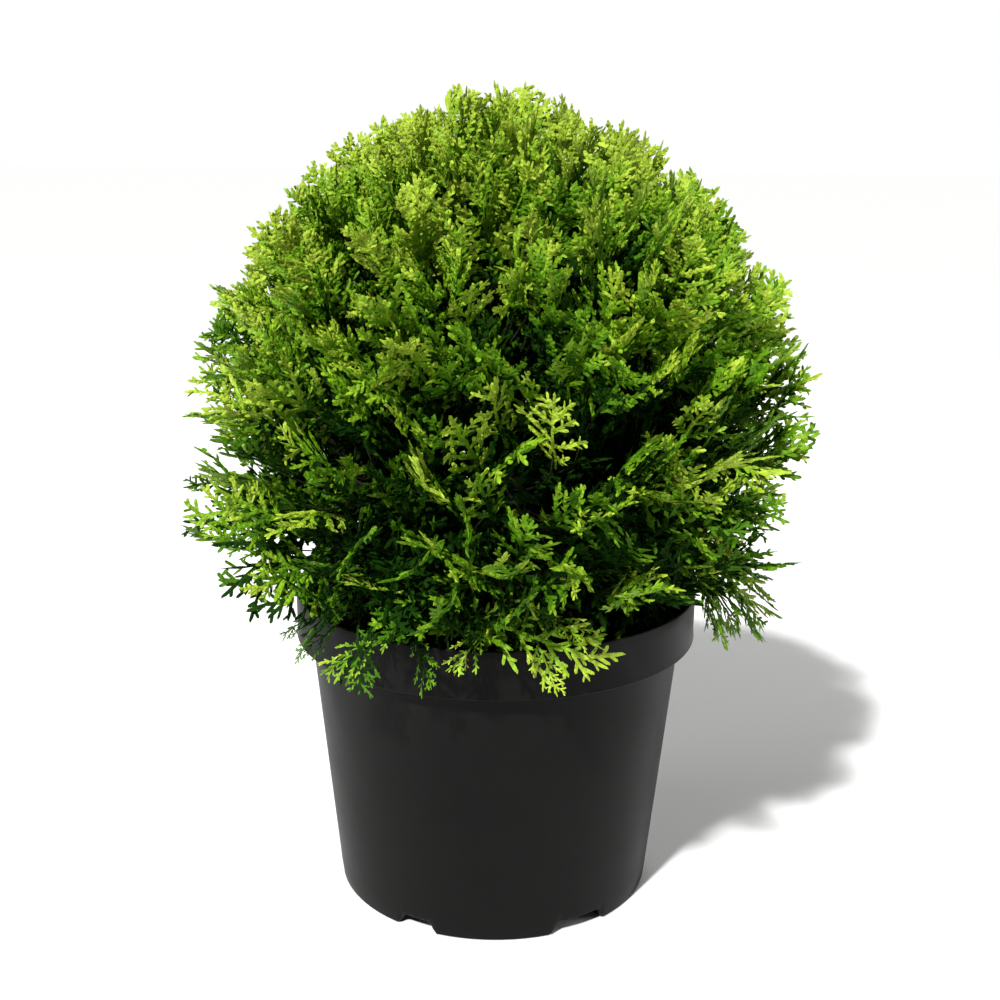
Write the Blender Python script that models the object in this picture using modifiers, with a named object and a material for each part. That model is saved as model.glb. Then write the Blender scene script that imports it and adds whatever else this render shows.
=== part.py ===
"""A potted globe arborvitae: a dwarf conifer with a dense round crown, in a round black nursery pot.

Metres, +Z up. The origin is the middle of the pot's underside, so the plant stands on the plane z = 0.
The crown is divided into masses. Each has its own space, and a bough that leads to it from the trunk.
"""

import math

import bmesh
import bpy
import numpy as np
from mathutils import Matrix, Vector
from mathutils.bvhtree import BVHTree

# Pot: a five litre container with a stiff collar
RIM_RADIUS = 0.1125
POT_HEIGHT = 0.1745
COLLAR_HEIGHT = 0.0265
BODY_TOP_RADIUS = 0.1044
BASE_RADIUS = 0.0892
WALL = 0.0018
FLOOR = 0.0020
STEP_RISE = 0.0046
EDGE = 0.0006
CORNER = 0.0014
FOOT_HEIGHT = 0.0070
FOOT_WIDTH = 0.0080
BOSS_RADIUS = 0.0160
POT_STEPS = 40

# Six notches, wide and narrow by turns, part the foot ring into feet, and each has a drain slot above it
NOTCHES = 6
NOTCH_ANGLES = (math.radians(20), math.radians(13))
FIRST_NOTCH = math.radians(-58)
NOTCH_TOP_SHARE = 0.84
NOTCH_ROOF = 0.0004
DRAIN_WIDTH = 0.0150
DRAIN_DEPTH = 0.0060
DRAIN_INTO_FOOT = 0.0010
DRAIN_BELOW_FLOOR = 0.0020

# Potting mix
SOIL_DEPTH_BELOW_RIM = 0.0140
SOIL_EDGE_DROP = 0.0030
SOIL_FLAT_RADIUS = 0.0320
SOIL_STEPS = 20

# Trunk, from its cut at the soil to the tip that carries the top mass
TRUNK_TIP_HEIGHT = 0.318
TRUNK_RADIUS = 0.0085
TRUNK_TIP_RADIUS = 0.0026
FLARE = 0.0070
FLARE_HEIGHT = 0.0120
TRUNK_WANDER = 0.0030
WANDER_TURNS = (5.2, 4.1)
WANDER_DEPTH_SHARE = 0.7
TRUNK_POINTS = 9
TRUNK_CROWDING = 1.5
TRUNK_SIDES = 8
TRUNK_SAMPLES = 12
TIP_STEP = 0.010

# Crown outline: a rounded egg about its middle. A power above 2 makes a half squarer, below 2 more pointed
CROWN_MIDDLE = Vector((0.003, 0.0, 0.250))
CROWN_RADIUS = 0.175
CROWN_RISE = 0.197
CROWN_DROP = 0.124
RISE_POWER = 1.85
DROP_POWER = 2.4

# Rings of masses: count, height angle, first azimuth, share of the reach, and the height and radius with which
# their boughs leave the trunk
RINGS = {
    "top": dict(count=1, rise=90, first=0, share=0.62, leaves_at=0.0, radius=0.0),
    "upper": dict(count=5, rise=37, first=-108, share=0.62, leaves_at=0.226, radius=0.0026),
    "middle": dict(count=8, rise=5, first=-90, share=0.62, leaves_at=0.194, radius=0.0024),
    "lower": dict(count=7, rise=-29, first=-90, share=0.75, leaves_at=0.172, radius=0.0021),
}
AZIMUTH_DRIFT = 5
RISE_DRIFT = 3
LEAST_FULLNESS = 0.955
BOUGH_SPIRAL = 0.0036
SPIRAL_STRIDE = 3
BOUGH_TAPER = 0.62
BOUGH_POINTS = 6
BOUGH_SIDES = 6
BOUGH_OUTWARD = 0.45
BOUGH_SAG = 0.30

# Masses: a core that sprays stand out of, and the stem that meets the bough
CORE_RADIUS = 0.062
CORE_STEPS = 30
CORE_INSET = 0.027
CORE_BUNDLE = 0.30
CORE_FACET = 0.50
CORE_MARGIN = 0.0012
CORE_LIMB_ROOM = 0.0015
BUNDLE_RAYS = 6
LIMB_SAMPLES = 40
BOUGH_END = 0.046
STEM_SHARE = 0.9

# Sprays: toothed fans rooted in the core, their tips spread by the golden angle below the outline
SPRAYS = 15
TRIES = 12
TURNS_OVER_MASS = 3
SPRAY_SPACING = 0.019
SPRAY_WIDTH = 0.037
SPRAY_WIDTH_RANGE = (0.88, 1.1)
NARROW_SPRAY = 0.6
SPRAY_THICKNESS = 0.0013
STALK_HALF = 0.0016
LOWER_TOOTH_AT = 0.60
LOWER_TOOTH_SHARE = (0.85, 1.0)
CLEFT_AT = 0.63
CLEFT_SHARE = 0.13
UPPER_TOOTH_AT = 0.84
UPPER_TOOTH_SHARE = (0.55, 0.68)
TOOTH_SLIP = 0.05
TOOTH_DRIFT = 0.03
LONGEST_SPRAY = 0.080
ROOT_DEPTH = 0.006
OPENING = math.radians(50)
OPENING_DRIFT = 0.05
TURN_DRIFT = 0.2
TIP_DEPTHS = (0.001, 0.007)
PROUD_DEPTH = 0.0004
UPWARD = 0.45
DOWNWARD = -0.15
HANGS_BELOW = -0.25
LARGEST_ROLL = 0.9
SEED = 7

GAP = 0.0003
CELL_GAP = 0.0008
POT_CLEAR = 0.0025
LIMB_CLEAR = 0.0008
CUTTER_OVERRUN = 0.0010
GOLDEN_ANGLE = math.pi * (3 - math.sqrt(5))
WELD = 0.00001
SHARP_ANGLE = math.radians(32)

SOIL_TOP = POT_HEIGHT - SOIL_DEPTH_BELOW_RIM
POT_FLOOR_TOP = FOOT_HEIGHT + FLOOR
COLLAR_FOOT = POT_HEIGHT - COLLAR_HEIGHT
FOOT_INNER = BASE_RADIUS - FOOT_WIDTH


def clear_scene():
    for old in list(bpy.data.objects):
        bpy.data.objects.remove(old, do_unlink=True)


def new_collection(name):
    collection = bpy.data.collections.new(name)
    bpy.context.scene.collection.children.link(collection)
    return collection


def new_material(name, colour, roughness):
    material = bpy.data.materials.new(name)
    material.use_nodes = True
    shader = material.node_tree.nodes["Principled BSDF"]
    shader.inputs["Base Color"].default_value = (*colour, 1.0)
    shader.inputs["Roughness"].default_value = roughness
    shader.inputs["Metallic"].default_value = 0.0
    material.diffuse_color = (*colour, 1.0)
    return material


def add_object(name, data, collection, material=None):
    thing = bpy.data.objects.new(name, data)
    collection.objects.link(thing)
    if material is not None:
        data.materials.append(material)
    return thing


def mark_as_cutter(thing):
    thing.hide_render = True
    thing.display_type = "WIRE"


def evaluated_mesh(thing, name):
    """The mesh that an object's curve or modifiers make."""
    bpy.context.view_layer.update()
    solid = thing.evaluated_get(bpy.context.evaluated_depsgraph_get())
    mesh = bpy.data.meshes.new_from_object(solid)
    mesh.name = name
    return mesh


def shade_round(mesh):
    """Smooth shading, parted at the real edges."""
    mesh.shade_smooth()
    mesh.set_sharp_from_angle(angle=SHARP_ANGLE)


def turned(name, profile, steps, collection, material):
    """A profile of (radius, height) points turned about Z. It runs down the outer side of the shape."""
    outline = bpy.data.meshes.new(name + "_profile")
    edges = [(i, i + 1) for i in range(len(profile) - 1)]
    outline.from_pydata([(radius, 0, height) for radius, height in profile], edges, [])
    line = add_object(name + "_profile", outline, collection)
    screw = line.modifiers.new("turn", "SCREW")
    screw.axis = "Z"
    screw.steps = screw.render_steps = steps
    screw.use_merge_vertices = True
    screw.merge_threshold = 0.00005
    mesh = evaluated_mesh(line, name)
    bpy.data.objects.remove(line, do_unlink=True)
    shade_round(mesh)
    return add_object(name, mesh, collection, material)


def cut(thing, cutter):
    mark_as_cutter(cutter)
    boolean = thing.modifiers.new("cut " + cutter.name, "BOOLEAN")
    boolean.operation = "DIFFERENCE"
    boolean.solver = "EXACT"
    boolean.object = cutter


def wedge_box(name, radii, heights, foot_width, top_width, azimuth, collection):
    """A box between two radii and two heights, with its own width at foot and top, turned to an azimuth."""
    bm = bmesh.new()
    bmesh.ops.create_cube(bm, size=1.0)
    for corner in bm.verts:
        width = top_width if corner.co.z > 0 else foot_width
        corner.co.x = radii[1] if corner.co.x > 0 else radii[0]
        corner.co.y = math.copysign(width / 2, corner.co.y)
        corner.co.z = heights[1] if corner.co.z > 0 else heights[0]
    mesh = bpy.data.meshes.new(name)
    bm.to_mesh(mesh)
    bm.free()
    box = add_object(name, mesh, collection)
    box.rotation_euler.z = azimuth
    return box


def body_radius(height):
    """Outer radius of the pot's tapered body at a height above its underside."""
    return BASE_RADIUS + (BODY_TOP_RADIUS - BASE_RADIUS) * height / COLLAR_FOOT


def make_pot(collection, cutters, material):
    profile = [
        (0, POT_FLOOR_TOP),
        (body_radius(POT_FLOOR_TOP) - WALL, POT_FLOOR_TOP),
        (BODY_TOP_RADIUS - WALL, COLLAR_FOOT + EDGE),
        (RIM_RADIUS - WALL, COLLAR_FOOT + STEP_RISE),
        (RIM_RADIUS - WALL, POT_HEIGHT - EDGE),
        (RIM_RADIUS - WALL + EDGE, POT_HEIGHT),
        (RIM_RADIUS - EDGE, POT_HEIGHT),
        (RIM_RADIUS, POT_HEIGHT - EDGE),
        (RIM_RADIUS, COLLAR_FOOT + EDGE),
        (RIM_RADIUS - EDGE, COLLAR_FOOT),
        (BODY_TOP_RADIUS, COLLAR_FOOT),
        (body_radius(CORNER), CORNER),
        (BASE_RADIUS - CORNER / 4, CORNER / 4),
        (BASE_RADIUS - CORNER, 0),
        (FOOT_INNER, 0),
        (FOOT_INNER, FOOT_HEIGHT),
        (BOSS_RADIUS, FOOT_HEIGHT),
        (BOSS_RADIUS - EDGE, 0),
        (0, 0),
    ]
    pot = turned("pot", profile, POT_STEPS, collection, material)
    notch_radii = FOOT_INNER - 3 * CUTTER_OVERRUN, BASE_RADIUS + 5 * CUTTER_OVERRUN
    notch_heights = -CUTTER_OVERRUN, FOOT_HEIGHT - NOTCH_ROOF
    drain_radii = FOOT_INNER - DRAIN_DEPTH, FOOT_INNER + DRAIN_INTO_FOOT
    drain_heights = FOOT_HEIGHT - DRAIN_BELOW_FLOOR, POT_FLOOR_TOP + CUTTER_OVERRUN
    for i in range(NOTCHES):
        azimuth = FIRST_NOTCH + i * math.tau / NOTCHES
        width = 2 * BASE_RADIUS * math.sin(NOTCH_ANGLES[i % 2] / 2)
        cut(pot, wedge_box(f"notch_{i}", notch_radii, notch_heights, width, width * NOTCH_TOP_SHARE,
                           azimuth, cutters))
        cut(pot, wedge_box(f"drain_{i}", drain_radii, drain_heights, DRAIN_WIDTH, DRAIN_WIDTH,
                           azimuth, cutters))


def make_soil(collection, material):
    lower = POT_FLOOR_TOP + GAP
    edge_height = SOIL_TOP - SOIL_EDGE_DROP
    collar_inner = RIM_RADIUS - WALL - GAP
    profile = [
        (0, SOIL_TOP),
        (SOIL_FLAT_RADIUS, SOIL_TOP),
        (collar_inner, edge_height),
        (collar_inner, COLLAR_FOOT + STEP_RISE + GAP),
        (BODY_TOP_RADIUS - WALL - GAP, COLLAR_FOOT + EDGE + GAP),
        (body_radius(lower) - WALL - GAP, lower),
        (0, lower),
    ]
    turned("soil", profile, SOIL_STEPS, collection, material)


def trunk_point(height):
    """The trunk's middle at a height: a gentle wander that starts upright and true over the pot."""
    up = (height - SOIL_TOP) / (TRUNK_TIP_HEIGHT - SOIL_TOP)
    sway = TRUNK_WANDER * up
    aside = sway * math.sin(WANDER_TURNS[0] * up)
    back = sway * math.cos(WANDER_TURNS[1] * up) * WANDER_DEPTH_SHARE
    return Vector((aside, back, height))


def trunk_radius(height):
    """Taper from foot to tip, with a root flare that dies away above the soil."""
    up = (height - SOIL_TOP) / (TRUNK_TIP_HEIGHT - SOIL_TOP)
    taper = TRUNK_RADIUS + (TRUNK_TIP_RADIUS - TRUNK_RADIUS) * up
    return taper + FLARE * math.exp(-(height - SOIL_TOP) / FLARE_HEIGHT)


def limb_mesh(name, points, radii, sides, collection, material=None):
    """A tapering limb: a bevelled curve along the points, made a closed mesh."""
    curve = bpy.data.curves.new(name + "_line", "CURVE")
    curve.dimensions = "3D"
    curve.bevel_depth = 1.0
    curve.bevel_resolution = (sides - 4) // 2
    curve.use_fill_caps = True
    spline = curve.splines.new("POLY")
    spline.points.add(len(points) - 1)
    for knot, place, radius in zip(spline.points, points, radii):
        knot.co = (*place, 1.0)
        knot.radius = radius
    line = add_object(name + "_line", curve, collection)
    mesh = evaluated_mesh(line, name)
    bpy.data.objects.remove(line, do_unlink=True)
    bm = bmesh.new()
    bm.from_mesh(mesh)
    bmesh.ops.remove_doubles(bm, verts=bm.verts, dist=WELD)
    bmesh.ops.recalc_face_normals(bm, faces=bm.faces)
    bm.to_mesh(mesh)
    bm.free()
    shade_round(mesh)
    return add_object(name, mesh, collection, material)


def make_trunk(collection, cutters, material):
    """The trunk. Returns a cutter a gap wider than it, which seats the boughs on its bark."""
    heights = np.linspace(0, 1, TRUNK_POINTS) ** TRUNK_CROWDING
    heights = SOIL_TOP + GAP + heights * (TRUNK_TIP_HEIGHT - SOIL_TOP - GAP)
    points = [trunk_point(float(h)) for h in heights]
    radii = [trunk_radius(float(h)) for h in heights]
    limb_mesh("trunk", points, radii, TRUNK_SIDES, collection, material)
    return limb_mesh("trunk_seat", points, [r + GAP for r in radii], TRUNK_SIDES, cutters)


def crown_reach(direction):
    """Distance from the crown's middle to its outline along a unit direction."""
    half, power = (CROWN_RISE, RISE_POWER) if direction.z > 0 else (CROWN_DROP, DROP_POWER)
    across = (math.hypot(direction.x, direction.y) / CROWN_RADIUS) ** power
    return (across + (abs(direction.z) / half) ** power) ** (-1 / power)


def direction_of(azimuth, rise):
    """Unit vector at an azimuth from +X and a rise above level, both in radians."""
    level = math.cos(rise)
    return Vector((level * math.cos(azimuth), level * math.sin(azimuth), math.sin(rise)))


def plan_masses():
    """Each mass's name, place in its ring, direction from the crown's middle, anchor point and fullness."""
    rng = np.random.default_rng(SEED)
    masses = []
    for ring, spec in RINGS.items():
        for i in range(spec["count"]):
            azimuth = math.radians(spec["first"]) + i * math.tau / spec["count"]
            rise = math.radians(spec["rise"])
            if spec["count"] > 1:
                azimuth += math.radians(rng.uniform(-AZIMUTH_DRIFT, AZIMUTH_DRIFT))
                rise += math.radians(rng.uniform(-RISE_DRIFT, RISE_DRIFT))
            heading = direction_of(azimuth, rise)
            anchor = CROWN_MIDDLE + heading * crown_reach(heading) * spec["share"]
            fullness = 1.0 if ring == "top" else rng.uniform(LEAST_FULLNESS, 1.0)
            name = "foliage_" + ring + (f"_{i + 1}" if spec["count"] > 1 else "")
            masses.append(dict(name=name, index=len(masses), ring=ring, number=i,
                               heading=heading, anchor=anchor, fullness=fullness))
    return masses


def plan_bough(mass):
    """Points and radii of the limb from the trunk's middle to where it enters its mass."""
    spec = RINGS[mass["ring"]]
    step = (mass["number"] * SPIRAL_STRIDE) % spec["count"]
    start = trunk_point(spec["leaves_at"] + BOUGH_SPIRAL * step)
    anchor = mass["anchor"]
    flat = Vector((mass["heading"].x, mass["heading"].y, 0)).normalized()
    lift = max(0.0, anchor.z - start.z)
    bend = start + flat * BOUGH_OUTWARD * (anchor - start).length + Vector((0, 0, BOUGH_SAG * lift))
    end_share = 1 - BOUGH_END / (anchor - start).length
    points = []
    for i in range(BOUGH_POINTS):
        t = end_share * i / (BOUGH_POINTS - 1)
        points.append(start * (1 - t) ** 2 + bend * 2 * t * (1 - t) + anchor * t**2)
    radii = [spec["radius"] * (1 - BOUGH_TAPER * i / BOUGH_POINTS) for i in range(BOUGH_POINTS)]
    return points, radii


def plan_stem(mass):
    """Where a mass's stem starts, a gap clear of the limb's end that carries it, and the stem's radius."""
    if mass["ring"] == "top":
        tip, tip_radius = trunk_point(TRUNK_TIP_HEIGHT), TRUNK_TIP_RADIUS
        tangent = (tip - trunk_point(TRUNK_TIP_HEIGHT - TIP_STEP)).normalized()
    else:
        points, radii = plan_bough(mass)
        tip, tip_radius = points[-1], radii[-1]
        tangent = (points[-1] - points[-2]).normalized()
    toward = (mass["anchor"] - tip).normalized()
    clearance = GAP + tip_radius * math.sin(toward.angle(tangent))
    return tip + toward * clearance, tip_radius * STEM_SHARE


def segment_distance(samples, start, end):
    """Distance of each point from a straight stretch."""
    along = end - start
    share = np.clip((samples - start) @ along / (along @ along), 0, 1)
    return np.linalg.norm(samples - (start + share[:, None] * along), axis=1)


class Space:
    """Where one mass may grow: its share of the crown, inside the outline, clear of pot and limbs."""

    def __init__(self, mass, masses, limbs):
        self.anchor = np.array(mass["anchor"])
        self.fullness = mass["fullness"]
        others = [np.array(m["anchor"]) for m in masses if m is not mass]
        self.normals = np.array([(o - self.anchor) / np.linalg.norm(o - self.anchor) for o in others])
        self.limits = np.array([n @ (o + self.anchor) / 2 for n, o in zip(self.normals, others)]) - CELL_GAP
        self.limbs = limbs

    def depth(self, samples):
        """Distance below the crown's outline, measured roughly along the line to its middle."""
        offset = samples - np.array(CROWN_MIDDLE)
        above = offset[:, 2] > 0
        half = np.where(above, CROWN_RISE, CROWN_DROP)
        power = np.where(above, RISE_POWER, DROP_POWER)
        across = (np.hypot(offset[:, 0], offset[:, 1]) / CROWN_RADIUS) ** power
        scaled = (across + (np.abs(offset[:, 2]) / half) ** power) ** (1 / power)
        reach = np.linalg.norm(offset, axis=1) / np.maximum(scaled, 1e-6)
        return (self.fullness - scaled) * reach

    def allows(self, samples, inset=0.0, margin=0.0):
        """True for each point that this mass may fill."""
        free = (samples @ self.normals.T <= self.limits - margin).all(axis=1)
        free &= self.depth(samples) >= inset
        radius = np.hypot(samples[:, 0], samples[:, 1])
        clear = POT_CLEAR + margin
        over_soil = (samples[:, 2] > SOIL_TOP + clear) & (radius < RIM_RADIUS - WALL - clear)
        free &= (samples[:, 2] > POT_HEIGHT + clear) | (radius > RIM_RADIUS + clear) | over_soil
        for points, radii in self.limbs:
            for i in range(len(points) - 1):
                room = max(radii[i], radii[i + 1]) + LIMB_CLEAR + margin
                free &= segment_distance(samples, points[i], points[i + 1]) > room
        return free


def free_reach(space, ray, steps):
    """How far a ray from the anchor stays in the space, with room for the facets on either side of it."""
    side = np.array(Vector(ray).orthogonal().normalized())
    other = np.cross(ray, side)
    reach = steps[-1]
    for k in range(BUNDLE_RAYS + 1):
        turn = k * math.tau / BUNDLE_RAYS
        lean = CORE_BUNDLE if k < BUNDLE_RAYS else 0.0
        line = ray + (side * math.cos(turn) + other * math.sin(turn)) * lean
        line /= np.linalg.norm(line)
        free = space.allows(space.anchor + steps[:, None] * line, CORE_INSET, CORE_MARGIN)
        blocked = np.flatnonzero(~free)
        if len(blocked):
            reach = min(reach, steps[max(0, blocked[0] - 1)])
    for points, radii in space.limbs:
        knots = np.linspace(0, len(points) - 1, LIMB_SAMPLES)
        offset = np.stack([np.interp(knots, np.arange(len(points)), points[:, k]) for k in range(3)], 1)
        offset -= space.anchor
        distance = np.linalg.norm(offset, axis=1)
        near = offset @ ray > distance * math.cos(CORE_FACET)
        if near.any():
            reach = min(reach, max(steps[0], (distance[near] - max(radii)).min() - CORE_LIMB_ROOM))
    return reach


def make_core(space, collection):
    """A faceted ball about the anchor, drawn in wherever the mass's space ends."""
    bm = bmesh.new()
    bmesh.ops.create_icosphere(bm, subdivisions=2, radius=1.0)
    steps = np.linspace(0, CORE_RADIUS, CORE_STEPS)[1:]
    for corner in bm.verts:
        ray = np.array(corner.co.normalized())
        corner.co = Vector(space.anchor + free_reach(space, ray, steps) * ray)
    mesh = bpy.data.meshes.new("core")
    bm.to_mesh(mesh)
    bm.free()
    return add_object("core", mesh, collection)


def spray_outline(length, width, rng):
    """A fan with two teeth a side and one at its tip, x across and y along, from a narrow stalk."""
    sides = []
    for side in (1, -1):
        slip = TOOTH_SLIP * side + rng.uniform(-TOOTH_DRIFT, TOOTH_DRIFT)
        lower = width / 2 * rng.uniform(*LOWER_TOOTH_SHARE)
        upper = width / 2 * rng.uniform(*UPPER_TOOTH_SHARE)
        sides.append([
            (side * STALK_HALF, 0.0),
            (side * lower, (LOWER_TOOTH_AT + slip) * length),
            (side * width * CLEFT_SHARE, (CLEFT_AT + slip) * length),
            (side * upper, (UPPER_TOOTH_AT + slip) * length),
        ])
    return sides[0] + [(0.0, length)] + sides[1][::-1]


def plate(outline, thickness, placement, collection):
    """A flat outline made a plate, centred on its own plane and placed by a matrix."""
    bm = bmesh.new()
    corners = [bm.verts.new((x, y, -thickness / 2)) for x, y in outline]
    face = bm.faces.new(corners)
    raised = bmesh.ops.extrude_face_region(bm, geom=[face])
    top = [item for item in raised["geom"] if isinstance(item, bmesh.types.BMVert)]
    bmesh.ops.translate(bm, verts=top, vec=(0, 0, thickness))
    bmesh.ops.recalc_face_normals(bm, faces=bm.faces)
    bmesh.ops.transform(bm, matrix=placement, verts=bm.verts)
    mesh = bpy.data.meshes.new("spray")
    bm.to_mesh(mesh)
    bm.free()
    return add_object("spray", mesh, collection)


def rod(start, end, radius, collection):
    """A straight twig with flat ends."""
    bm = bmesh.new()
    along = end - start
    bmesh.ops.create_cone(bm, cap_ends=True, segments=BOUGH_SIDES, radius1=radius,
                          radius2=radius, depth=along.length)
    turn = along.to_track_quat("Z", "Y").to_matrix().to_4x4()
    bmesh.ops.transform(bm, matrix=Matrix.Translation((start + end) / 2) @ turn, verts=bm.verts)
    mesh = bpy.data.meshes.new("twig")
    bm.to_mesh(mesh)
    bm.free()
    return add_object("twig", mesh, collection)


def frame_along(origin, along, flat):
    """A matrix with Y along a direction, and Z, the plate's normal, as near as can be to another."""
    along = along.normalized()
    across = along.cross(flat).normalized()
    normal = across.cross(along)
    turn = Matrix((across, along, normal)).transposed().to_4x4()
    return Matrix.Translation(origin) @ turn


def plate_samples(outline, placement):
    """Points over a plate: its outline in short steps, and the same drawn in towards its middle line."""
    corners = np.array(outline)
    ahead = np.roll(corners, -1, axis=0)
    steps = np.linspace(0, 1, 6)[:-1, None, None]
    edge = (corners + steps * (ahead - corners)).reshape(-1, 2)
    flat = np.concatenate([edge * (inward, 1.0) for inward in (1.0, 0.66, 0.33, 0.0)])
    turn = np.array(placement)
    return flat[:, :1] * turn[:3, 0] + flat[:, 1:] * turn[:3, 1] + turn[:3, 3]


def plan_sprays(mass, space, core, rng):
    """Tips spread by the golden angle over the mass's share of the outline, each rooted in the core."""
    sprays = []
    tips = []
    heading = mass["heading"]
    side = heading.orthogonal().normalized()
    other = heading.cross(side)
    turns = SPRAYS * TURNS_OVER_MASS
    for i in range(SPRAYS * TRIES):
        if len(sprays) == SPRAYS:
            break
        share = (i % turns + 0.5) / turns
        opening = OPENING * math.sqrt(share) + rng.uniform(-OPENING_DRIFT, OPENING_DRIFT)
        turn = i * GOLDEN_ANGLE + rng.uniform(-TURN_DRIFT, TURN_DRIFT)
        across = side * math.cos(turn) + other * math.sin(turn)
        ray = heading * math.cos(opening) + across * math.sin(opening)
        depth = rng.uniform(*TIP_DEPTHS) if len(sprays) % 3 else PROUD_DEPTH
        tip = CROWN_MIDDLE + ray * (crown_reach(ray) * mass["fullness"] - depth)
        if any((tip - near).length < SPRAY_SPACING for near in tips):
            continue
        growth = (ray + Vector((0, 0, UPWARD if ray.z > HANGS_BELOW else DOWNWARD))).normalized()
        distance = core.ray_cast(tip, -growth)[3]
        if distance is None or distance > LONGEST_SPRAY - ROOT_DEPTH:
            growth = (tip - mass["anchor"]).normalized()
            distance = core.ray_cast(tip, -growth)[3]
        length = distance + ROOT_DEPTH
        if length > LONGEST_SPRAY:
            continue
        flat = growth.cross(Vector((0, 0, 1)))
        flat = side if flat.length < 0.2 else flat.normalized()
        roll = Matrix.Rotation(rng.uniform(-LARGEST_ROLL, LARGEST_ROLL), 3, growth)
        placement = frame_along(tip - growth * length, growth, roll @ flat)
        for width in (SPRAY_WIDTH * rng.uniform(*SPRAY_WIDTH_RANGE), SPRAY_WIDTH * NARROW_SPRAY):
            outline = spray_outline(length, width, rng)
            if space.allows(plate_samples(outline, placement), 0.0, SPRAY_THICKNESS / 2).all():
                sprays.append((outline, placement))
                tips.append(tip)
                break
    return sprays


def join_all(name, first, extras, collection, material):
    """One Boolean union of a collection onto the first piece, applied, with the pieces then removed."""
    union = first.modifiers.new("join", "BOOLEAN")
    union.operation = "UNION"
    union.solver = "EXACT"
    union.operand_type = "COLLECTION"
    union.collection = extras
    mesh = evaluated_mesh(first, name)
    for piece in [*extras.objects, first]:
        bpy.data.objects.remove(piece, do_unlink=True)
    bpy.data.collections.remove(extras)
    mesh.materials.clear()
    add_object(name, mesh, collection, material)


def make_mass(mass, space, collection, cutters, material):
    """The core with its stem and the sprays that stand out of it, joined as one solid."""
    name = mass["name"]
    rng = np.random.default_rng(SEED * 1000 + mass["index"])
    core = make_core(space, cutters)
    surface = BVHTree.FromPolygons([v.co.copy() for v in core.data.vertices],
                                   [tuple(p.vertices) for p in core.data.polygons])
    extras = new_collection(name + "_parts")
    stem_start, stem_radius = plan_stem(mass)
    rod(stem_start, mass["anchor"], stem_radius, extras)
    for outline, placement in plan_sprays(mass, space, surface, rng):
        plate(outline, SPRAY_THICKNESS, placement, extras)
    join_all(name, core, extras, collection, material)


def main():
    clear_scene()
    collection = new_collection("potted_arborvitae")
    cutters = new_collection("cutters")
    black_plastic = new_material("black plastic", (0.022, 0.022, 0.021), 0.48)
    potting_mix = new_material("potting mix", (0.035, 0.022, 0.014), 0.95)
    bark = new_material("bark", (0.165, 0.085, 0.048), 0.85)
    foliage = new_material("foliage", (0.13, 0.31, 0.025), 0.55)

    make_pot(collection, cutters, black_plastic)
    make_soil(collection, potting_mix)
    seat = make_trunk(collection, cutters, bark)

    masses = plan_masses()
    heights = [float(h) for h in np.linspace(SOIL_TOP, TRUNK_TIP_HEIGHT, TRUNK_SAMPLES)]
    limbs = [(np.array([trunk_point(h) for h in heights]), [trunk_radius(h) for h in heights])]
    for mass in masses:
        if mass["ring"] != "top":
            points, radii = plan_bough(mass)
            limbs.append((np.array(points), radii))
            name = mass["name"].replace("foliage", "bough")
            cut(limb_mesh(name, points, radii, BOUGH_SIDES, collection, bark), seat)

    for mass in masses:
        make_mass(mass, Space(mass, masses, limbs), collection, cutters, foliage)


main()
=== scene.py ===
from math import cos, pi, radians, sin, sqrt, tau

import bpy
import numpy as np
from mathutils import Euler, Matrix, Vector
from numpy.linalg import norm
from numpy.random import default_rng


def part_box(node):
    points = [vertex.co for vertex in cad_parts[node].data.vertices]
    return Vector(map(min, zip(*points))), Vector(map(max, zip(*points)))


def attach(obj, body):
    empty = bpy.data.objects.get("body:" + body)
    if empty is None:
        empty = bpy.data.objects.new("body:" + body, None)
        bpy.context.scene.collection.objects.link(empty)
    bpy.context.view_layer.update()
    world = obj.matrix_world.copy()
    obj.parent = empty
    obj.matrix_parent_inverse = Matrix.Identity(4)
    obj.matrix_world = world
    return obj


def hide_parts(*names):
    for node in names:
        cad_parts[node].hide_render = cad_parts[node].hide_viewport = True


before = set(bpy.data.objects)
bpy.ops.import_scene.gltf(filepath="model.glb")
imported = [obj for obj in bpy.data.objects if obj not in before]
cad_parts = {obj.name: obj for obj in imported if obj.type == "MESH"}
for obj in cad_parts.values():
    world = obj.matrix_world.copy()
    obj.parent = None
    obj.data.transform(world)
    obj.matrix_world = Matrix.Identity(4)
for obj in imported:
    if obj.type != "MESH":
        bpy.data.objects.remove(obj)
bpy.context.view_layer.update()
print("frame loaded, nodes:", len(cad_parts))

goldenAngle = pi * (3 - sqrt(5))
upright = np.array((0.0, 0.0, 1.0))


# Arrays to meshes

def unit(vectors):
    # each vector divided by its own length
    return vectors / np.maximum(norm(vectors, axis=-1, keepdims=True), 1e-12)


def newObject(name, data):
    thing = bpy.data.objects.new(name, data)
    bpy.context.scene.collection.objects.link(thing)
    return thing


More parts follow.
